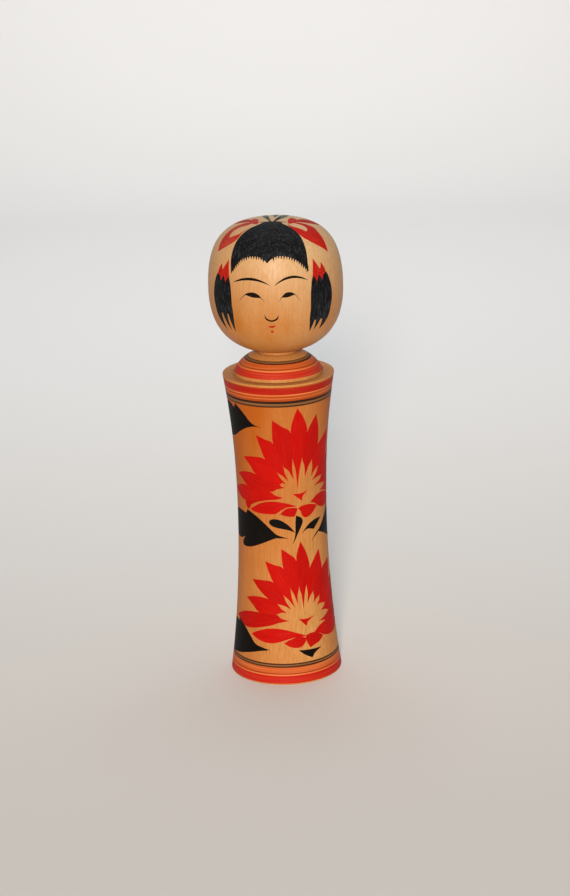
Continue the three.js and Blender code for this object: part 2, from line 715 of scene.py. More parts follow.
LOWER_FLOWER: Shapes = [
    *Fan(
        tips=[
            (-40.8, 32), (-31.6, 44.3), (-27.4, 54.9), (-19.4, 65.9), (-10.4, 72.8), (0.2, 76.1),
            (12.1, 69.6), (22.2, 62.1), (30, 51.5), (35, 41.5), (38.5, 31)
        ],
        roots=[
            (-7.4, 34), (-8.4, 38.5), (-6.1, 40.1), (-4.1, 40.7), (-2.7, 42.4), (0.3, 39.4), (2.6, 42),
            (6.1, 41.6), (8.1, 40), (10.6, 36.5), (8.8, 31.1)
        ],
        bows=[
            (0.9, 1.5), (-0.2, 1.1), (0.5, 0.6), (0.2, 0.2), (0.2, 0.7), (0.6, 1.1), (0.35, 0.4),
            (0.4, 0.9), (0.4, 0.9), (0.5, 0.9), (0.9, 0.8)
        ],
        valleys=[
            (-29, 28.2), (-22.7, 37.8), (-17.7, 45.7), (-14.9, 54.7), (-9.5, 62.1), (-2.5, 65.6),
            (5.1, 60.6), (13.7, 58.1), (20.5, 50.5), (24.5, 43.5), (26, 35.5), (24, 28)
        ],
        slivers=[
            (-16.9, 31.3), (-14, 37.6), (-13.2, 43.3), (-10.1, 48.2), (-6.4, 52), (-1.6, 52.3),
            (2.7, 53), (6.9, 48.5), (11.1, 45), (15, 39.7), (17.8, 34.6), (15, 29.3)
        ],
    ).patches(),
    Patch(
        [[(-27.2, 25.4), (-24, 27.4), (-19, 29.4), (-14, 30), (-9, 29.2), (-4, 27.4),
         (0.9, 25.2)]],
        [[(-27.2, 25.4), (-24, 23.5), (-20.5, 22.3), (-17, 21.9), (-13, 22.5), (-10.4, 23.4)],
         [(-10.4, 23.4), (-6, 24.7), (0.9, 25)]],
    ),
    pointed(
        (-10.2, 22.2), (0.9, 23.8),
        [[(-7.5, 23.8), (-4, 24.9), (-1, 24.8)]],
        [[(-8, 20.4), (-5, 19.4), (-2, 19.6), (0, 21.4)]],
    ),
    pointed(
        (0.5, 25.2), (10.7, 22.9),
        [[(3, 26.1), (6, 25.9), (8.5, 24.6)]],
        [[(0.9, 22), (2.6, 18.3)], [(5, 19.5), (8, 20.4)]],
    ),
    pointed(
        (5, 25.7), (29, 26),
        [[(8.5, 28.5), (12.5, 29.8), (18, 29.8), (24, 28.4)]],
        [[(8.4, 24.8), (11.5, 22.9), (15, 21.8), (19, 21.7), (24.5, 23)]],
    ),
    pointed(
        (-2.5, 34.5), (6.1, 34.9),
        [[(1.5, 34.2)]],
        [[(1.3, 30.2)], [(2.5, 32.8)]],
    ),
]
LEAVES: dict[str, Shapes] = {
    "upper_leaf": [
        pointed(
            (-49, 138), (-17.8, 137.8),
            [[(-45, 146), (-40, 148.4), (-36.6, 147.9)], [(-34.4, 146)], [(-33, 148.9)], [(-29.5, 146.4),
             (-26.6, 143.4), (-24.4, 140.7), (-22, 139)]],
            [[(-46, 130), (-38.3, 130.1), (-31.8, 133.9), (-28.3, 136), (-24.8, 137.5), (-21.5, 138.2)]],
        ),
    ],
    "middle_leaf": [
        pointed(
            (-49, 83), (-6.3, 78.3),
            [[(-45, 89), (-38, 90.4), (-31.5, 89.9)], [(-30.3, 92.2)], [(-23.3, 89.2), (-17.5, 84.8),
             (-14, 81.6), (-11.8, 80.1)]],
            [[(-45, 76), (-38.3, 74.9), (-34, 76.3), (-30.4, 79)], [(-22, 77.6), (-14, 78.6)]],
        ),
        pointed(
            (-35.5, 72.8), (-12, 79),
            [[(-35, 74.4), (-33.2, 76.7), (-30.4, 79), (-22, 80.6)]],
            [[(-33.8, 71.5), (-28, 72.3), (-21.3, 75), (-17, 77)]],
        ),
    ],
    "lower_leaf": [
        pointed(
            (-50, 20), (-16.7, 18.2),
            [[(-46, 28), (-40.5, 29.5), (-38.5, 28.8)], [(-38.1, 31.6)], [(-33.9, 29.4), (-30.5, 26.6),
             (-27.4, 23.4), (-25, 20.6), (-22.5, 19.6)]],
            [[(-46, 11.8), (-37.7, 12.1), (-28.4, 14.9), (-22, 17)]],
        ),
    ],
    "right_leaf": [
        pointed(
            (7, 74.5), (47, 83),
            [[(9.6, 77.7), (12.4, 79.7)], [(17, 81.6), (20.6, 86.4), (23.5, 90)], [(27.5, 92.5),
             (37, 90.5)]],
            [[(9.8, 77.2), (12.4, 78.9)], [(17.5, 76.8), (26.4, 72.6), (34, 72.4)]],
        ),
    ],
    "sprouts": [
        Stroke((-16.6, 87.2), (-2.3, 80.8), 2.25, 0.09, 0.55, 1.4),
        pointed(
            (-1.9, 90.3), (-4.3, 74.8),
            [[(-2.3, 86.5), (-2.4, 82)], [(-2.9, 78.5)]],
            [[(1.2, 88.6), (1.9, 86.4), (0.6, 83.4), (-1, 80.6), (-2.6, 77.4)]],
        ),
        pointed(
            (1.3, 79.8), (15.2, 86.3),
            [[(3.2, 82.4), (6.2, 84.8), (10, 86.1)]],
            [[(3.4, 81.6), (5.4, 82.1), (9, 81)], [(11, 82.8)]],
        ),
    ],
    "seed_leaf": [
        pointed(
            (-3.3, 17.9), (8.9, 17.3),
            [[(2, 17.5)]],
            [[(-0.5, 15.2), (3.2, 12.9)], [(5, 15.2)]],
        ),
    ],
}
# On the crown's paper, the pole is at (0, 0) and the face lies towards -v.
FRINGE = pointed(
    (-26.2, -36.2), (24.9, -36),
    [[(-23.2, -29), (-18.2, -21.6), (-12.2, -15.4), (-6.4, -11), (-4.6, -8.8), (0, -8.2),
     (4.4, -8.8), (5.4, -10.8), (9.6, -14.2), (14.6, -19.2), (18.8, -25.2), (22.1, -31.2)]],
    [[(-22, -34.4), (-17.4, -33.1), (-13.4, -33), (-8.5, -33.9), (-4.5, -35.5), (-1.4, -38.3)],
     [(1.6, -35.9), (5, -34.4), (10, -33.9), (15, -34), (20, -34.7)]],
)
BOWS: dict[str, Shapes] = {
    "left_bow": [
        Stroke((10, -6.4), (24, 7.5), 3.4, 0, 1.2, 1),
        pointed(
            (7.4, -9.6), (32.6, -16.5),
            [[(9.6, -12.4), (14, -13.4), (18.6, -14.2), (25, -15.4)]],
            [[(8.4, -12.6), (10.6, -15.3), (13.2, -17.8), (16, -19.7), (19.4, -20.2), (23.3, -19.9),
             (27.4, -18.6)]],
        ),
        pointed(
            (8.6, -6.8), (32.6, -16.5),
            [[(14.5, -6), (20.6, -6.2), (23.2, -8.5), (26.5, -11.2), (29.8, -13.9)]],
            [[(12.2, -8.4), (16.1, -9.4), (17.9, -11.8), (18.2, -14.6), (24, -16)]],
        ),
        Stroke((8.2, -10), (8.9, 1.6), 2.3, -0.1, 0.8, 0.7),
    ],
    "right_bow": [
        Stroke((-10, -5.8), (-21.5, 7.5), 3, 0, 1.2, 1),
        pointed(
            (-9.4, -11.6), (-31.4, -16.9),
            [[(-15.6, -16.2), (-19.1, -16.2), (-22.2, -15.4), (-25.5, -15.6)]],
            [[(-14.6, -16.6), (-17.7, -20.2), (-21.5, -20.7), (-24.9, -20), (-28, -18.8)]],
        ),
        pointed(
            (-8.6, -6.4), (-31.4, -16.9),
            [[(-14.6, -5.2), (-20, -6.6), (-24.6, -9.3), (-28, -12.2)]],
            [[(-12.2, -9.6), (-16.4, -9.7), (-19.6, -10.9), (-21.9, -13.4), (-22.8, -16)]],
        ),
        Stroke((-7.2, -10.6), (-9.4, 1), 2.3, 0.1, 0.8, 0.7),
    ],
}
# On the head's side paper, v is the distance up the outline from the chin. The flame is the one
# on the doll's left; the other mirrors it.
FLAMES = pointed(
    (22.8, 54.4), (31.7, 54.7),
    [[(23.1, 57), (24.4, 62.6)], [(26.2, 59.6), (27.9, 56.9)], [(28.6, 58.4), (29.3, 60)],
     [(30.8, 57.6)]],
    [[(24.1, 52.9), (25.1, 51)], [(25.8, 53), (26.6, 54.4)], [(27.6, 53), (28.7, 51.3)],
     [(29.6, 53.8)]],
)
# The tie and its two loose ends, and the thin wash of hair behind them, on the crown's paper.
TOPKNOT: dict[str, Shapes] = {
    "topknot_tie": [
        Stroke((-7.4, -8), (7.6, -8), 0.6, 0, 0.5, 0.5),
        Stroke((-0.8, -8), (-3.9, 3.5), 0.6, 0.03, 0.5, 1),
        Stroke((0.7, -8), (3.3, 4.5), 0.8, -0.03, 0.5, 1),
    ],
    "hair_wash": [
        Stroke((0.9, -7), (6, 15), 1.9, -0.04, 0.8, 0.7),
        Stroke((-1.4, -6), (-5.6, 14), 1.5, 0.04, 0.8, 0.7),
        Stroke((0.4, 1), (0.4, 16), 1.3, 0, 0.8, 0.7),
    ],
}
# The face, on the head's side paper.
BROWS: Shapes = [
    Stroke((-19.8, 51.7), (0.4, 51), 0.66, 0.138, 0.9, 1),
    Stroke((2, 50.7), (20, 52.3), 0.62, 0.186, 1, 1),
]
NOSE: Shapes = [
    Patch(
        [[(-3.1, 36.8), (-2, 34.6), (0.5, 33.6), (2.8, 34.5), (4.1, 36.4)]],
        [[(-3.1, 36.6), (-2.5, 34), (0.5, 32.7), (3.3, 33.8), (4.1, 36.2)]],
    ),
]
MOUTH: Shapes = [
    Stroke((-1.5, 30.3), (2.4, 30.7), 0.6, -0.16, 0.8, 0.8),
    Stroke((-0.4, 27.1), (1.2, 27.1), 0.7, 0, 0.5, 0.5),
]


# ---------------------------------------------------------------------------------------------
# Finishes
# ---------------------------------------------------------------------------------------------


def linear(colour: str) -> tuple[float, float, float, float]:
    """An sRGB hex colour as linear red, green, blue and alpha.

    Args:
        colour: Six hex digits after a hash.

    Returns:
        The linear colour, with alpha 1.
    """
    srgb = np.array([int(colour[i : i + 2], 16) / 255 for i in (1, 3, 5)])
    values = np.where(srgb <= 0.04045, srgb / 12.92, ((srgb + 0.055) / 1.055) ** 2.4)
    return (*map(float, values), 1.0)


@dataclass(frozen=True)
class Nodes:
    """A material's node tree, and the few kinds of node that the finishes are made of.

    Attributes:
        tree: The node tree.
    """

    tree: bpy.types.NodeTree

    def add(self, kind: str, inputs: dict[Any, Any] | None = None, **settings: Any) -> Any:
        """Adds a node, sets its properties, and fills or links its inputs.

        Args:
            kind: The node's type name.
            inputs: By input name or number, a value to set or another node's output to link.
            settings: Values for the node's own properties.

        Returns:
            The node.
        """
        node = self.tree.nodes.new(kind)
        for name, value in settings.items():
            setattr(node, name, value)
        for name, value in (inputs or {}).items():
            if isinstance(value, bpy.types.NodeSocket):
                self.tree.links.new(value, node.inputs[name])
            else:
                node.inputs[name].default_value = value
        return node

    def ramp(self, value: Any, low: float, high: float, start: float = 0.0, end: float = 1.0) -> Any:
        """Carries a value over from one range to another, and holds it there.

        Args:
            value: The value's socket.
            low: Value that gives start.
            high: Value that gives end.
            start: Result at low.
            end: Result at high.

        Returns:
            The result's socket.
        """
        ranges = {"From Min": low, "From Max": high, "To Min": start, "To Max": end}
        return self.add("ShaderNodeMapRange", {"Value": value, **ranges}).outputs[0]

    def mix(self, share: Any, first: Any, second: str) -> Any:
        """Mixes two colours.

        Args:
            share: How much of the second one, as a socket.
            first: A colour's socket, or its sRGB hex code.
            second: The other colour's hex code.

        Returns:
            The mixed colour's socket.
        """
        start = linear(first) if isinstance(first, str) else first
        inputs = {0: share, 6: start, 7: linear(second)}
        return self.add("ShaderNodeMix", inputs, data_type="RGBA").outputs[2]

    def math(self, operation: str, first: Any, second: Any, clamp: bool = False) -> Any:
        """Adds or multiplies two values.

        Args:
            operation: The node's name for what it does.
            first: One value's socket.
            second: The other's.
            clamp: Whether the result is held between 0 and 1.

        Returns:
            The result's socket.
        """
        inputs = {0: first, 1: second}
        return self.add("ShaderNodeMath", inputs, operation=operation, use_clamp=clamp).outputs[0]

    def noise(self, place: Any, fleck: Point3, detail: float = 2.0, roughness: float = 0.5) -> Any:
        """Noise whose flecks have a size of their own along each axis.

        Args:
            place: Socket of the coordinates.
            fleck: Size of a fleck along each axis, in the coordinates' unit.
            detail: How many finer layers lie on it.
            roughness: How strong those are.

        Returns:
            The noise's value socket, about 0.5 on average.
        """
        scale = tuple(1 / size for size in fleck)
        sized = self.add("ShaderNodeMapping", {"Vector": place, "Scale": scale}).outputs[0]
        inputs = {"Vector": sized, "Scale": 1.0, "Detail": detail, "Roughness": roughness}
        return self.add("ShaderNodeTexNoise", inputs).outputs[0]

    def place(self) -> Any:
        """Where a point lies on its object.

        Returns:
            The coordinates' socket, in metres.
        """
        return self.add("ShaderNodeTexCoord").outputs["Object"]

    def fibres(self, width: float, length: float) -> Any:
        """Noise drawn out along the wood's grain, which runs up the doll.

        Args:
            width: Size of a fleck across the grain, in millimetres.
            length: Its size along the grain.

        Returns:
            The noise's value socket.
        """
        return self.noise(self.place(), (width * MM, width * MM, length * MM), 3.0, 0.6)


@dataclass(frozen=True)
class Finish:
    """What every finish of the doll shares: a colour from nodes, under a thin coat of wax.

    Attributes:
        name: The material's name.
        roughness: Roughness of the wood or paint under the wax.
        gloss: How strongly the wood or paint itself shines.
        wax: How much of the surface the wax covers.
        wax_roughness: How dull the wax's own gloss is.
        relief: Height of the grain that can be felt through the wax, in millimetres.
    """

    name: str
    roughness: float = 0.6
    gloss: float = 0.2
    wax: float = 0.25
    wax_roughness: float = 0.33
    relief: float = 0.05

    def colour(self, nodes: Nodes) -> Any:
        """The nodes of the finish's colour.

        Args:
            nodes: The material's nodes.

        Returns:
            The colour's socket.
        """
        raise NotImplementedError

    def build(self) -> bpy.types.Material:
        """Makes the material.

        Returns:
            The material, with colour, roughness and a fine relief of the grain.
        """
        material = bpy.data.materials.new(self.name)
        material.use_nodes = True
        nodes = Nodes(material.node_tree)
        shader = nodes.tree.nodes["Principled BSDF"]
        nodes.tree.links.new(self.colour(nodes), shader.inputs["Base Color"])
        grain = nodes.fibres(0.5, 9.0)
        dull = nodes.ramp(grain, 0.0, 1.0, self.roughness - 0.06, self.roughness + 0.06)
        nodes.tree.links.new(dull, shader.inputs["Roughness"])
        felt = {"Height": grain, "Strength": 0.25, "Distance": self.relief * MM}
        nodes.tree.links.new(nodes.add("ShaderNodeBump", felt).outputs[0], shader.inputs["Normal"])
        shader.inputs["Specular IOR Level"].default_value = self.gloss
        shader.inputs["Coat Weight"].default_value = self.wax
        shader.inputs["Coat Roughness"].default_value = self.wax_roughness
        return material


@dataclass(frozen=True)
class WaxedDogwood(Finish):
    """Dogwood turned across a spinning chisel and polished with wax.

    The eye sees a pale tan ground with a fine upright grain, darker pores drawn out along it, and a
    slow drift of tone where the wood has aged to a deeper orange. The same deeper colour is laid on
    as painted shade towards the sides, and on the head towards the chin; where it thins, on the
    forehead and the shoulder's ledge, the paler wood is partly a painted highlight.

    Attributes:
        pale: Colour of the wood between its fibres.
        deep: Colour of the fibres.
        pore: Colour of the pores.
        pore_share: How strongly the pores show.
        yellowed_and_shade: Colour that age and old wax have drawn the wood towards, also laid on as painted
            shade.
        side_tone_and_shade_share: How much of it the doll's right side has, fading towards its left; partly
            painted shade.
        far_edge_shade_share: How much of it the outermost edge of the doll's left side has, as painted shade
            there.
        height_share: How much more of it there is at the height high than at the height low.
        low: Height where that starts, in millimetres.
        high: Height where it is full.
        top: Height above which the wood is pale again, partly a painted highlight on the shoulder's ledge.
    """

    pale: str = "#d89c5c"
    deep: str = "#c08645"
    pore: str = "#8f5526"
    pore_share: float = 0.2
    yellowed_and_shade: str = "#b45a12"
    side_tone_and_shade_share: float = 0.55
    far_edge_shade_share: float = 0.4
    height_share: float = 0.6
    low: float = 50.0
    high: float = 150.0
    top: float = 158.6

    def colour(self, nodes: Nodes) -> Any:
        """The nodes of the wood's colour.

        Args:
            nodes: The material's nodes.

        Returns:
            The colour's socket.
        """
        ground = nodes.mix(nodes.ramp(nodes.fibres(0.7, 16.0), 0.35, 0.65), self.pale, self.deep)
        # The yellowing, which towards the sides is painted shade as well, grows towards both sides and
        # towards one height, and drifts from place to place.
        across, _, height = nodes.add("ShaderNodeSeparateXYZ", {0: nodes.place()}).outputs
        near_side_shade = nodes.ramp(across, 18 * MM, -24 * MM, 0.0, self.side_tone_and_shade_share)
        far_side_shade = nodes.ramp(across, 15 * MM, 25 * MM, 0.0, self.far_edge_shade_share)
        risen = nodes.ramp(height, self.low * MM, self.high * MM, 0.0, self.height_share)
        # Above the height top the share falls away: a paler ledge, partly a painted highlight.
        ledge_highlight = nodes.ramp(height, self.top * MM, (self.top + 1) * MM, 1.0, 0.2)
        summed = nodes.math("ADD", nodes.math("ADD", near_side_shade, far_side_shade), risen)
        drift = nodes.ramp(nodes.fibres(14.0, 60.0), 0.3, 0.7, 0.82, 1.12)
        share = nodes.math("MULTIPLY", nodes.math("MULTIPLY", summed, ledge_highlight), drift, clamp=True)
        pores = nodes.ramp(nodes.fibres(0.45, 3.0), 0.5, 0.7, 0.0, self.pore_share)
        return nodes.mix(pores, nodes.mix(share, ground, self.yellowed_and_shade), self.pore)


@dataclass(frozen=True)
class LatheDye(Finish):
    """Dye held against the spinning wood with a brush, which leaves fine rings of thick and thin.

    Attributes:
        thick: Colour where the dye lies thick.
        thin: Colour where the wood shows through.
        ring: Height of one ring of thick and thin, in millimetres.
        reach: Length over which a ring stays the same.
    """

    thick: str = "#c41f0d"
    thin: str = "#d24a22"
    ring: float = 0.5
    reach: float = 30.0
    gloss: float = 0.1
    wax: float = 0.1

    def colour(self, nodes: Nodes) -> Any:
        """The nodes of the dye's colour.

        Args:
            nodes: The material's nodes.

        Returns:
            The colour's socket.
        """
        rings = nodes.noise(nodes.place(), (self.reach * MM, self.reach * MM, self.ring * MM))
        dye = nodes.mix(nodes.ramp(rings, 0.42, 0.75), self.thick, self.thin)
        worn = nodes.ramp(nodes.fibres(0.3, 4.0), 0.5, 0.8, 0.0, 0.25)
        return nodes.mix(worn, dye, self.thin)


@dataclass(frozen=True)
class BrushDye(Finish):
    """Dye or ink laid on with a pointed brush, a little streaked the way the brush went.

    Attributes:
        full: Colour of a full brush.
        dry: Colour of the streaks that its hairs leave.
        speckle: How much the wood's pores break the colour up.
        fleck: Width of those breaks, in millimetres.
        streak: Width of a streak.
        run: Length of a streak, in widths.
    """

    full: str = "#b80904"
    dry: str = "#c4230f"
    speckle: float = 0.15
    fleck: float = 0.3
    streak: float = 0.7
    run: float = 14.0
    gloss: float = 0.05
    wax: float = 0.05

    def colour(self, nodes: Nodes) -> Any:
        """The nodes of the brushed colour.

        Args:
            nodes: The material's nodes.

        Returns:
            The colour's socket.
        """
        stroke = nodes.add("ShaderNodeUVMap", uv_map="brush").outputs[0]
        hairs = nodes.noise(stroke, (self.run * self.streak, self.streak, 1.0))
        dye = nodes.mix(nodes.ramp(hairs, 0.45, 0.8, 0.0, 0.7), self.full, self.dry)
        pores = nodes.fibres(self.fleck, 3 * self.fleck)
        broken = nodes.mix(nodes.ramp(pores, 0.5, 0.7, 0.0, self.speckle), dye, self.dry)
        tone = nodes.add("ShaderNodeAttribute", attribute_name="tone").outputs["Fac"]
        load = {"Color": broken, "Value": nodes.ramp(tone, 0.0, 1.0, 0.92, 1.08)}
        return nodes.add("ShaderNodeHueSaturation", load).outputs[0]


# ---------------------------------------------------------------------------------------------
# The doll
# ---------------------------------------------------------------------------------------------


@dataclass(frozen=True)
class Dresser:
    """Puts finished pieces on the doll's bodies.

    Attributes:
        finishes: The material and the record's slot for each kind of finish.
    """

    finishes: dict[str, tuple[bpy.types.Material, Slot]]

    def dress(self, shell: Shell, name: str, body: Body, finish: str) -> bpy.types.Object:
        """Builds one piece, gives it its finish, and rides it on its body.

        Args:
            shell: The piece's surface.
            name: The piece's name.
            body: The body that it moves with.
            finish: Which finish it takes.

        Returns:
            The finished object.
        """
        piece = shell.build(name)
        material, slot = self.finishes[finish]
        piece.data.materials.append(material)
        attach(piece, body.value)
        log.info("%s: %d faces on %s", name, len(shell.faces), body.value)
        return piece


@dataclass(frozen=True)
class Ring:
    """One dyed or inked ring round a turning.

    Attributes:
        name: The piece's name.
        low: Where it starts: a height, or a share of the way up the dome.
        high: Where it ends.
        finish: Its finish.
        lift: How far it stands off the wood.
    """

    name: str
    low: float
    high: float
    finish: str
    lift: float = 0.02


SIDE_RINGS = (
    Ring("foot_red_band", 0.7, 4.7, "red_band"),
    Ring("foot_pale_line", 4.7, 5.4, "pale_line"),
    Ring("foot_orange_band", 5.4, 9.1, "orange_band"),
    Ring("foot_deep_line", 5.5, 6.1, "deep_line", 0.03),
    Ring("foot_lower_line", 9.1, 9.9, "dark_line"),
    Ring("foot_grey_line", 9.9, 10.5, "grey_line"),
    Ring("foot_upper_line", 10.5, 11.3, "dark_line"),
    Ring("shoulder_lower_line", 149.1, 149.9, "dark_line"),
    Ring("shoulder_grey_line", 149.9, 151.0, "grey_line"),
    Ring("shoulder_black_line", 151.0, 152.3, "black_line"),
    Ring("shoulder_orange_band", 152.3, 155.1, "orange_deep"),
    Ring("shoulder_orange_line", 153.6, 154.0, "pale_line", 0.03),
    Ring("shoulder_pale_line", 155.1, 155.8, "pale_line"),
    Ring("shoulder_red_band", 155.8, 159.2, "red_deep"),
    Ring("shoulder_faded_band", 159.2, 159.8, "orange_deep"),
)
DOME_RINGS = (
    Ring("dome_red_band", 0.03, 0.28, "red_bright"),
    Ring("dome_pale_line", 0.28, 0.34, "pale_line"),
    Ring("dome_orange_band", 0.34, 0.585, "orange_band"),
    Ring("dome_deep_line", 0.355, 0.395, "deep_line", 0.03),
    Ring("dome_black_line", 0.585, 0.635, "black_line"),
    Ring("dome_grey_line", 0.635, 0.71, "grey_line"),
    Ring("dome_upper_line", 0.71, 0.74, "dark_line"),
)


@dataclass
class TurnedBody:
    """The body: a waisted column with a flared shoulder, and a low dome that the head stands on.

    Attributes:
        high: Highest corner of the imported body.
        waist_radius: Radius at the waist.
        waist_height: Height of the waist.
        shoulder_radius: Radius at the shoulder's edge.
        shoulder_height: Height of that edge.
        rim_rise: How far the flat ledge lies above that edge.
        foot_pull: How far in and up the side's curve leaves the foot.
        waist_pull: How far below and above the waist the side stays upright.
        shoulder_pull: How far in and down the curve reaches the shoulder from.
        dome_radius: Radius at the foot of the dome.
        dome_step: Height of the dome's upright foot.
        dome_bulge: How far the dome stands out from a cone.
        groove_width: Width of the groove round the dome.
        groove_depth: Its depth.
        collar_radius: Radius of the flat that the head stands on.
        socket_radius: Radius of the socket's throat.
        socket_length: Length of the throat.
        bulb_radius: Radius of the hollow below the throat.
        bulb_length: Length of that hollow.
        foot_round: Rounding of the foot's edge.
        recess_radius: Radius of the recess under the foot.
        recess_depth: Its depth.
        ripple_height: Height of the chisel's ripples in the recess.
        ripple_pitch: Distance between them.
        paper_radius: Radius at which the drawings have their true width.
        flower_axis: Angle of the middle of the flowers, from -Y towards +X, in degrees.
    """

    high: Array
    waist_radius: float = 23.0
    waist_height: float = 86.0
    shoulder_radius: float = 28.4
    shoulder_height: float = 160.5
    rim_rise: float = 0.5
    foot_pull: Point = (3.86, 25.2)
    waist_pull: Point = (24.5, 34.9)
    shoulder_pull: Point = (3.18, 20.9)
    dome_radius: float = 22.7
    dome_step: float = 0.8
    dome_bulge: float = 3.0
    groove_width: float = 0.6
    groove_depth: float = 0.5
    collar_radius: float = 11.4
    socket_radius: float = 6.5
    socket_length: float = 7.0
    bulb_radius: float = 7.7
    bulb_length: float = 9.0
    foot_round: float = 0.5
    recess_radius: float = 20.0
    recess_depth: float = 1.0
    ripple_height: float = 0.06
    ripple_pitch: float = 2.4
    paper_radius: float = 24.0
    flower_axis: float = 22.0
    side: Turning = field(init=False)
    dome: Turning = field(init=False)

    def __post_init__(self) -> None:
        """Works out the outlines of the side and of the dome."""
        foot = (self.high[0], self.foot_round)
        foot_control = (self.high[0] - self.foot_pull[0], self.foot_pull[1])
        below = (self.waist_radius, self.waist_height - self.waist_pull[0])
        waist = (self.waist_radius, self.waist_height)
        above = (self.waist_radius, self.waist_height + self.waist_pull[1])
        edge = (self.shoulder_radius, self.shoulder_height)
        edge_control = (edge[0] - self.shoulder_pull[0], edge[1] - self.shoulder_pull[1])
        lower = bezier(foot, foot_control, below, waist, 90)
        upper = bezier(waist, above, edge_control, edge, 80)
        self.side = Turning(np.vstack([lower, upper[1:]]))
        start = np.array([self.dome_radius, self.shoulder_height + self.rim_rise + self.dome_step])
        end = np.array([self.collar_radius, self.high[2]])
        along = (start - end) / np.hypot(*(start - end))
        crown = (start + end) / 2 + self.dome_bulge * np.array([-along[1], along[0]])
        t = np.linspace(0.0, 1.0, 40)[:, None]
        self.dome = Turning((1 - t) ** 2 * start + 2 * t * (1 - t) * crown + t**2 * end)

    def outline(self) -> Array:
        """The whole outline, from the middle of the foot round to the bottom of the socket.

        Returns:
            Points of radius and height, from the axis to the axis.
        """
        base, _, top = self.high
        rim = self.shoulder_height + self.rim_rise
        step = rim + self.dome_step
        groove = self.dome_radius + self.groove_width
        recess = np.linspace(self.recess_radius - 1.0, 0.5, 90)[::-1]
        ripples = self.ripple_height * np.cos(recess * 2 * np.pi / self.ripple_pitch)
        foot_corner = bezier(
            (base - self.foot_round, 0.0), (base - 0.1, 0.0), (base, 0.1), (base, self.foot_round), 5
        )
        edge = bezier(
            (self.shoulder_radius, self.shoulder_height),
            (self.shoulder_radius + 0.05, self.shoulder_height + 0.35),
            (self.shoulder_radius - 0.35, rim - 0.12),
            (self.shoulder_radius - 0.9, rim - 0.1),
            8,
        )
        throat = top - self.socket_length
        widest = throat - 0.4 * self.bulb_length
        tip = throat - self.bulb_length
        hollow = bezier(
            (self.bulb_radius, widest),
            (self.bulb_radius, widest - 0.4 * self.bulb_length),
            (self.socket_radius - 0.3, tip),
            (0.0, tip),
            24,
        )
        stretches = [
            [(0.0, self.recess_depth)],
            np.stack([recess, self.recess_depth + ripples], axis=-1),
            [(self.recess_radius - 0.4, 0.4), (self.recess_radius, 0.0), (24.0, 0.0)],
            foot_corner,
            self.side.outline[1:-1],
            edge,
            [(groove + 0.25, rim), (groove, rim - 0.15), (groove, rim - self.groove_depth)],
            [(self.dome_radius, rim - self.groove_depth), (self.dome_radius, step - 0.25)],
            [(self.dome_radius - 0.05, step - 0.06)],
            self.dome.outline[1:],
            [(self.socket_radius + 0.3, top), (self.socket_radius, top - 0.3)],
            [(self.socket_radius, throat)],
            hollow,
        ]
        return np.vstack([np.asarray(s, float) for s in stretches])

    def rings(self) -> list[tuple[Turning, Ring]]:
        """The dyed and inked rings, measured along the outlines that they lie on.

        Returns:
            Each ring with its turning.
        """
        placed = []
        for ring in SIDE_RINGS:
            low, high = self.side.arc_at(np.array([ring.low, ring.high]))
            placed.append((self.side, replace(ring, low=low, high=high)))
        whole = arc_lengths(self.dome.outline)[-1]
        for ring in DOME_RINGS:
            placed.append((self.dome, replace(ring, low=ring.low * whole, high=ring.high * whole)))
        return placed

    def build(self, dresser: Dresser) -> None:
        """Builds the body and everything painted on it.

        Args:
            dresser: What puts the pieces on.
        """
        solid = Turning(self.outline()).solid(TURN_STEPS)
        wood = dresser.dress(solid, "turned_body", Body.BODY, "body_wood")
        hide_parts("body")
        for turning, ring in self.rings():
            shell = band(turning, ring.low, ring.high, ring.lift)
            dresser.dress(shell, ring.name, Body.BODY, ring.finish)
        brush = Brush(SidePaper(self.side, self.paper_radius, self.flower_axis, True))
        for name, flower in (("upper_flower", UPPER_FLOWER), ("lower_flower", LOWER_FLOWER)):
            dresser.dress(brush.paint(flower), name, Body.BODY, "red_petal")
        for name, leaf in LEAVES.items():
            dresser.dress(brush.paint(leaf), name, Body.BODY, "black_leaf")


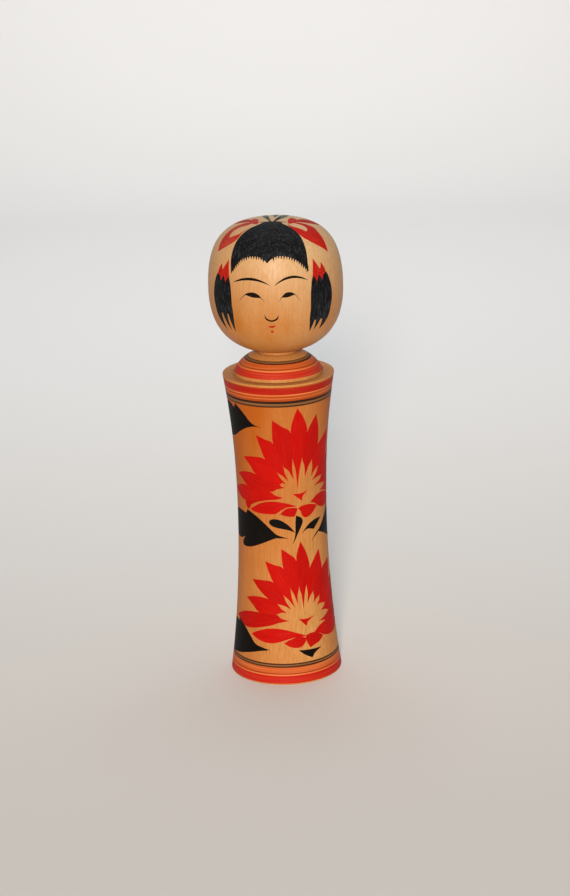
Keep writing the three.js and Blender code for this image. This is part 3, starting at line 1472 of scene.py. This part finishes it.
@dataclass
class TurnedHead:
    """The head, with the neck and the bulb below it that snap into the body.

    Attributes:
        low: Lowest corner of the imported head.
        high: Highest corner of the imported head.
        widest_height: Height of the widest ring.
        widest_pull: How far below and above it the side stays upright.
        crown_pull: How far out from the pole the crown stays level.
        chin_radius: Radius where the round of the head meets the neck.
        chin_height: Height of that ring.
        chin_pull: How far out and up the cheek's curve leaves it.
        neck_radius: Radius of the neck's visible step.
        neck_height: Height of the face that rests on the body.
        tenon_radius: Radius of the tenon inside the socket's throat.
        tenon_length: Its length.
        bulb_radius: Radius of the bulb below the tenon.
        paper_radius: Radius at which the drawings have their true width.
        face_axis: Angle of the middle of the face, from -Y towards +X, in degrees.
    """

    low: Array
    high: Array
    widest_height: float = 205.4
    widest_pull: Point = (20.1, 25.5)
    crown_pull: float = 25.2
    chin_radius: float = 11.0
    chin_height: float = 173.2
    chin_pull: Point = (13.69, 3.39)
    neck_radius: float = 10.6
    neck_height: float = 171.7
    tenon_radius: float = 6.2
    tenon_length: float = 7.0
    bulb_radius: float = 7.4
    paper_radius: float = 34.0
    face_axis: float = -5.0
    skin: Turning = field(init=False)

    def __post_init__(self) -> None:
        """Works out the head's outline, from the chin up to the crown."""
        radius, _, top = self.high
        chin = (self.chin_radius, self.chin_height)
        chin_control = (self.chin_radius + self.chin_pull[0], self.chin_height + self.chin_pull[1])
        below = (radius, self.widest_height - self.widest_pull[0])
        widest = (radius, self.widest_height)
        above = (radius, self.widest_height + self.widest_pull[1])
        cheek = bezier(chin, chin_control, below, widest, 90)
        crown = bezier(widest, above, (self.crown_pull, top), (0.0, top), 110)
        self.skin = Turning(np.vstack([cheek, crown[1:]]))

    def outline(self) -> Array:
        """The whole outline, from the tip of the bulb up to the crown.

        Returns:
            Points of radius and height, from the axis to the axis.
        """
        shoulder = self.neck_height - self.tenon_length
        tip = self.low[2]
        widest = shoulder - 0.4 * (shoulder - tip)
        start = (0.0, tip)
        end = (self.bulb_radius, widest)
        bulb = bezier(start, (self.tenon_radius, tip), (end[0], 2 * widest - shoulder), end, 24)
        stretches = [
            bulb,
            [(self.tenon_radius, shoulder), (self.tenon_radius, self.neck_height - 0.3)],
            [(self.tenon_radius + 0.3, self.neck_height), (self.neck_radius - 0.3, self.neck_height)],
            [(self.neck_radius - 0.08, self.neck_height + 0.08)],
            [(self.neck_radius, self.neck_height + 0.3), (self.neck_radius, self.chin_height - 0.5)],
            [(self.neck_radius + 0.1, self.chin_height - 0.12)],
            self.skin.outline,
        ]
        return np.vstack([np.asarray(s, float) for s in stretches])

    def side_hair(self, side: int, notch: float) -> Shapes:
        """The lock of hair beside one cheek, which ends in three brush points.

        Args:
            side: 1 for the doll's left, -1 for its right.
            notch: How high up the lock's points part.

        Returns:
            The lock's shapes.
        """
        front = [(23.2, 55.4), (21.7, 51), (20.9, 44), (20.9, notch)]
        back = [(30.4, 56), (33, 53.2), (35.2, 46), (35.1, 39.5), (33.2, notch)]
        mass = Patch(*([[(u * side, v) for u, v in run]] for run in (front, back)))
        points = [
            Stroke((22.6 * side, notch + 7.5), (21.7 * side, 25.2), 1.75, 0, 0.4, 1),
            Stroke((26.9 * side, notch + 7.5), (24.2 * side, 25.8), 1.9, 0.05 * side, 0.4, 1.1),
            Stroke((31.6 * side, notch + 8.5), (28.1 * side, 25.4), 2.7, 0.09 * side, 0.45, 1.1),
        ]
        return [mass, *points]

    def side_flames(self, side: int) -> Shapes:
        """The red flame where a ribbon ties the side lock: two points above and two below.

        Args:
            side: 1 for the doll's left, -1 for its right.

        Returns:
            The shape.
        """
        edges = (FLAMES.first, FLAMES.second)
        return [Patch(*([[(u * side, v) for u, v in run] for run in edge] for edge in edges))]

    def fringe(self) -> Shapes:
        """The black fringe: one broad shape from the topknot, with a row of teeth at its lower edge.

        Returns:
            The shapes, on the crown's paper.
        """
        left, right = (smooth(run, 19) for run in FRINGE.second)
        # The teeth have four lengths in turn, and lean out a little from the middle.
        teeth = []
        for index, (u, v) in enumerate(np.vstack([left[2:-2], right[3:-1]])):
            reach = 1.35 + 0.5 * ((index * 5) % 4) / 3
            teeth.append(Stroke((0.985 * u, v + 2.0), (1.02 * u, v - reach), 0.62, 0, 0.4, 1))
        return [FRINGE, *teeth]

    def eye(self, outer: float, inner: float, tilt: int) -> Shapes:
        """One narrow eye: the lid's line, and the pupil below it.

        Args:
            outer: Where its outer corner lies.
            inner: Where its inner corner lies.
            tilt: 1 if the inner corner is to the right of the outer one, -1 if to its left.

        Returns:
            The lid and the pupil.
        """
        middle = (outer + inner) / 2
        reach = tilt * abs(outer - inner) / 2
        rise, peak, fall = (middle + share * reach for share in (-0.45, 0.15, 0.6))
        start, end = middle - 0.36 * reach - 0.8 * tilt, middle + 0.72 * reach
        lid = Patch(
            [[(outer, 42.6), (rise, 46.6), (peak, 47.6), (fall, 46.2), (inner, 42.8)]],
            [[(outer, 42.5), (rise, 46.1), (peak, 47.1), (fall, 45.6), (inner, 42.7)]],
        )
        pupil = Patch(
            [[(start, 46.2), (peak, 47.5), (end, 45.4)]],
            [[(start, 46.2), (peak, 45.1), (end, 45)]],
        )
        return [lid, pupil]

    def build(self, dresser: Dresser) -> None:
        """Builds the head and everything painted on it.

        Args:
            dresser: What puts the pieces on.
        """
        solid = Turning(self.outline()).solid(TURN_STEPS)
        wood = dresser.dress(solid, "turned_head", Body.HEAD, "head_wood")
        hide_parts("head")
        side = SidePaper(self.skin, self.paper_radius, self.face_axis, False)
        round_head = Brush(side)
        over_hair = Brush(side, lift=0.04)
        on_crown = Brush(CrownPaper(self.skin, self.face_axis))
        eyes = [*self.eye(-16.4, -2.6, 1), *self.eye(15.2, 4.2, -1)]
        painted = [
            ("left_lock", "black_hair", round_head, self.side_hair(1, 31.5)),
            ("left_lock_ribbon", "red_ribbon", over_hair, self.side_flames(1)),
            ("right_lock", "black_hair", round_head, self.side_hair(-1, 35.0)),
            ("right_lock_ribbon", "red_ribbon", over_hair, self.side_flames(-1)),
            ("fringe", "black_hair", on_crown, self.fringe()),
            ("left_bow", "red_ribbon", on_crown, BOWS["left_bow"]),
            # The right bow's paler red: a thinner wash of dye with a painted sheen.
            ("right_bow", "thin_ribbon_and_sheen", on_crown, BOWS["right_bow"]),
            ("topknot_tie", "black_hair", on_crown, TOPKNOT["topknot_tie"]),
            ("hair_wash", "green_wash", on_crown, TOPKNOT["hair_wash"]),
            ("brows", "brown_ink", round_head, BROWS),
            ("eyes", "brown_ink", round_head, eyes),
            ("nose", "brown_ink", round_head, NOSE),
            ("mouth", "lip_dye", round_head, MOUTH),
        ]
        for name, finish, brush, shapes in painted:
            dresser.dress(brush.paint(shapes), name, Body.HEAD, finish)


def finishes() -> dict[str, tuple[bpy.types.Material, Slot]]:
    """Every finish of the doll, ready to put on.

    Returns:
        By name, the material and the record's slot for it.
    """
    # Both woods take the deeper colour towards the sides, partly as painted shade.
    body = WaxedDogwood("waxed_dogwood_body", gloss=0.1, wax=0.12, side_tone_and_shade_share=0.65)
    head = WaxedDogwood(
        "waxed_dogwood_head",
        wax=0.4,
        wax_roughness=0.42,
        pale="#dfb98a",
        deep="#d3a670",
        yellowed_and_shade="#b96d14",
        side_tone_and_shade_share=0.25,
        far_edge_shade_share=0.1,
        # The head's share grows downwards: painted shade towards the chin, a painted highlight on the
        # forehead.
        height_share=0.72,
        low=226.0,
        high=194.0,
        top=250.0,
    )
    # Water dyes and inks held against the turning wood: matt, with the wood's rings showing through.
    lathe = {
        "red_band": (Slot.RED, "lathe_red_dye", "#bb1409", "#c93a22"),
        "red_bright": (Slot.RED, "lathe_bright_red_dye", "#c02613", "#cf5436"),
        "orange_band": (Slot.ORANGE, "lathe_orange_dye", "#c6561f", "#d47b44"),
        "red_deep": (Slot.RED, "lathe_deep_red_dye", "#a91405", "#b73213"),
        "orange_deep": (Slot.ORANGE, "lathe_deep_orange_dye", "#a53e0d", "#bb5a20"),
        "deep_line": (Slot.RED, "lathe_deep_line", "#9a3009", "#a94412"),
        "pale_line": (Slot.ORANGE, "lathe_pale_line", "#d9703a", "#e08548"),
        "dark_line": (Slot.BLACK, "lathe_brown_ink", "#42200a", "#5e3212"),
        "black_line": (Slot.BLACK, "lathe_black_ink", "#27110a", "#4b2410"),
        "grey_line": (Slot.GREEN, "lathe_grey_wash", "#7c5430", "#936a42"),
    }
    # The same dyes laid on by hand: matt, streaked along the stroke, and broken up by the pores
    # where the brush ran dry. The last two numbers are the speckle and the width of its flecks.
    brushed = {
        "red_petal": (Slot.RED, "brushed_red_dye", "#b80904", "#c4230f", 0.15, 0.3),
        "red_ribbon": (Slot.RED, "brushed_red_ribbon", "#bb120b", "#cb4636", 0.5, 0.5),
        # The right bow's paler, patchier red is partly a thinner wash of dye and partly a painted sheen.
        "thin_ribbon_and_sheen": (Slot.RED, "brushed_thin_red_and_sheen", "#b3241a", "#cc6452", 0.8, 0.5),
        "lip_dye": (Slot.RED, "brushed_lip_dye", "#b5250f", "#c43a20", 0.15, 0.3),
        "black_leaf": (Slot.BLACK, "brushed_black_ink", "#0d0a07", "#18130f", 0.15, 0.3),
        "black_hair": (Slot.BLACK, "brushed_hair_ink", "#0f0f11", "#34373a", 1.0, 1.0),
        "brown_ink": (Slot.BLACK, "brushed_brown_ink", "#130b06", "#26170c", 0.15, 0.3),
        "green_wash": (Slot.GREEN, "brushed_green_wash", "#5d6a60", "#7d7f68", 0.5, 0.3),
    }
    made = {"body_wood": (body.build(), Slot.BODY_WOOD), "head_wood": (head.build(), Slot.HEAD_WOOD)}
    for name, (slot, title, thick, thin) in lathe.items():
        made[name] = (LatheDye(title, thick=thick, thin=thin).build(), slot)
    for name, (slot, title, full, dry, speckle, fleck) in brushed.items():
        dye = BrushDye(title, full=full, dry=dry, speckle=speckle, fleck=fleck)
        made[name] = (dye.build(), slot)
    return made


# ---------------------------------------------------------------------------------------------
# The studio
# ---------------------------------------------------------------------------------------------


@dataclass(frozen=True)
class Studio:
    """A pale floor, soft lights and the camera. Lengths are metres.

    Attributes:
        distance: How far in front of the doll's axis the camera stands.
        height: How high it stands above the floor.
        pitch: How far it looks down, in degrees.
        pan: How far it looks to the right.
        roll: How far it is tipped clockwise.
        lens: Focal length in millimetres, for a frame 36 mm along its longer side.
    """

    distance: float = 1.087
    height: float = 0.4569
    pitch: float = 17.237
    pan: float = 0.124
    roll: float = 1.635
    lens: float = 88.81

    def camera(self) -> None:
        """Makes the camera and hands it to the scene."""
        data = bpy.data.cameras.new("camera")
        data.lens = self.lens
        data.sensor_width = 36.0
        data.clip_start = 0.01
        made = bpy.data.objects.new("camera", data)
        turn = Matrix.Rotation(np.radians(-self.pan), 4, "Z")
        tip = Matrix.Rotation(np.radians(90 - self.pitch), 4, "X")
        roll = Matrix.Rotation(np.radians(-self.roll), 4, "Z")
        made.matrix_world = Matrix.Translation((0.0, -self.distance, self.height)) @ turn @ tip @ roll
        bpy.context.scene.collection.objects.link(made)
        bpy.context.scene.camera = made

    def light(
        self,
        name: str,
        place: Point3,
        aim: Point3,
        size: float,
        power: float,
        colour: str,
        spread: float = math.pi,
    ) -> None:
        """A soft square light.

        Args:
            name: The light's name.
            place: Where it stands.
            aim: What it looks at.
            size: Length of its side.
            power: Watts.
            colour: Its sRGB hex colour.
            spread: Angle of its cone, in radians.
        """
        data = bpy.data.lights.new(name, "AREA")
        data.size = size
        data.energy = power
        data.color = linear(colour)[:3]
        data.spread = spread
        made = bpy.data.objects.new(name, data)
        away = np.asarray(place) - np.asarray(aim)
        made.location = place
        pitch = float(np.arccos(away[2] / np.linalg.norm(away)))
        made.rotation_euler = (pitch, 0.0, float(np.arctan2(away[0], -away[1])))
        bpy.context.scene.collection.objects.link(made)

    def floor(self) -> None:
        """The floor: a wide pale sheet that curves up behind the doll."""
        reach = 4.0  # half the sheet's width, its length in front and its height behind
        start = 1.2  # how far behind the doll it starts to curve up
        radius = 0.6  # of that curve
        bend = np.linspace(0.0, np.pi / 2, 24)
        run = np.concatenate([[-reach], start + radius * np.sin(bend), [start + radius]])
        rise = np.concatenate([[0.0], radius - radius * np.cos(bend), [reach]])
        x, y = np.meshgrid(np.array([-reach, reach]), run, indexing="ij")
        z = np.broadcast_to(rise, x.shape)
        points = np.stack([x, y, z], axis=-1).reshape(-1, 3)
        mesh = bpy.data.meshes.new("floor")
        mesh.from_pydata(points.tolist(), [], grid_faces(2, len(run), False).tolist())
        mesh.shade_smooth()
        # Matt paper, which takes the doll's soft shadow and gives the eye no reflection.
        material = bpy.data.materials.new("pale_floor")
        material.use_nodes = True
        shader = material.node_tree.nodes["Principled BSDF"]
        shader.inputs["Base Color"].default_value = linear("#ece9e4")
        shader.inputs["Roughness"].default_value = 0.9
        shader.inputs["Specular IOR Level"].default_value = 0.0
        mesh.materials.append(material)
        made = bpy.data.objects.new("floor", mesh)
        bpy.context.scene.collection.objects.link(made)

    def build(self) -> None:
        """Sets the studio up."""
        self.camera()
        self.floor()
        doll = (0.0, 0.0, 0.13)
        wall = (0.0, 1.9, 0.7)
        cone = math.radians(50)
        self.light("key", (-0.18, -3.6, 1.33), doll, size=0.48, power=10.5, colour="#fff5ea", spread=cone)
        self.light("top", (0.1, 0.3, 1.5), doll, size=1.0, power=4.0, colour="#ffffff")
        self.light("backdrop", (0.0, 0.5, 1.4), wall, size=0.8, power=14.0, colour="#e6effc")
        world = bpy.data.worlds.new("studio")
        world.use_nodes = True
        sky = world.node_tree.nodes["Background"]
        sky.inputs["Color"].default_value = linear("#e6ebf2")
        sky.inputs["Strength"].default_value = 0.16
        bpy.context.scene.world = world


def corners(pair: tuple[Any, Any]) -> tuple[Array, Array]:
    """A box's two corners in millimetres.

    Args:
        pair: Lowest and highest corner, in metres.

    Returns:
        The same corners as arrays.
    """
    low, high = (np.asarray(tuple(corner)) / MM for corner in pair)
    return low, high


def main() -> None:
    """Loads the frame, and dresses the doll."""
    logging.basicConfig(level=logging.INFO, format="%(message)s")
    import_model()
    bpy.context.scene.view_settings.view_transform = "Standard"
    Studio().build()
    dresser = Dresser(finishes())
    TurnedBody(corners(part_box("body"))[1]).build(dresser)
    TurnedHead(*corners(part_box("head"))).build(dresser)


if __name__ == "__main__":
    main()
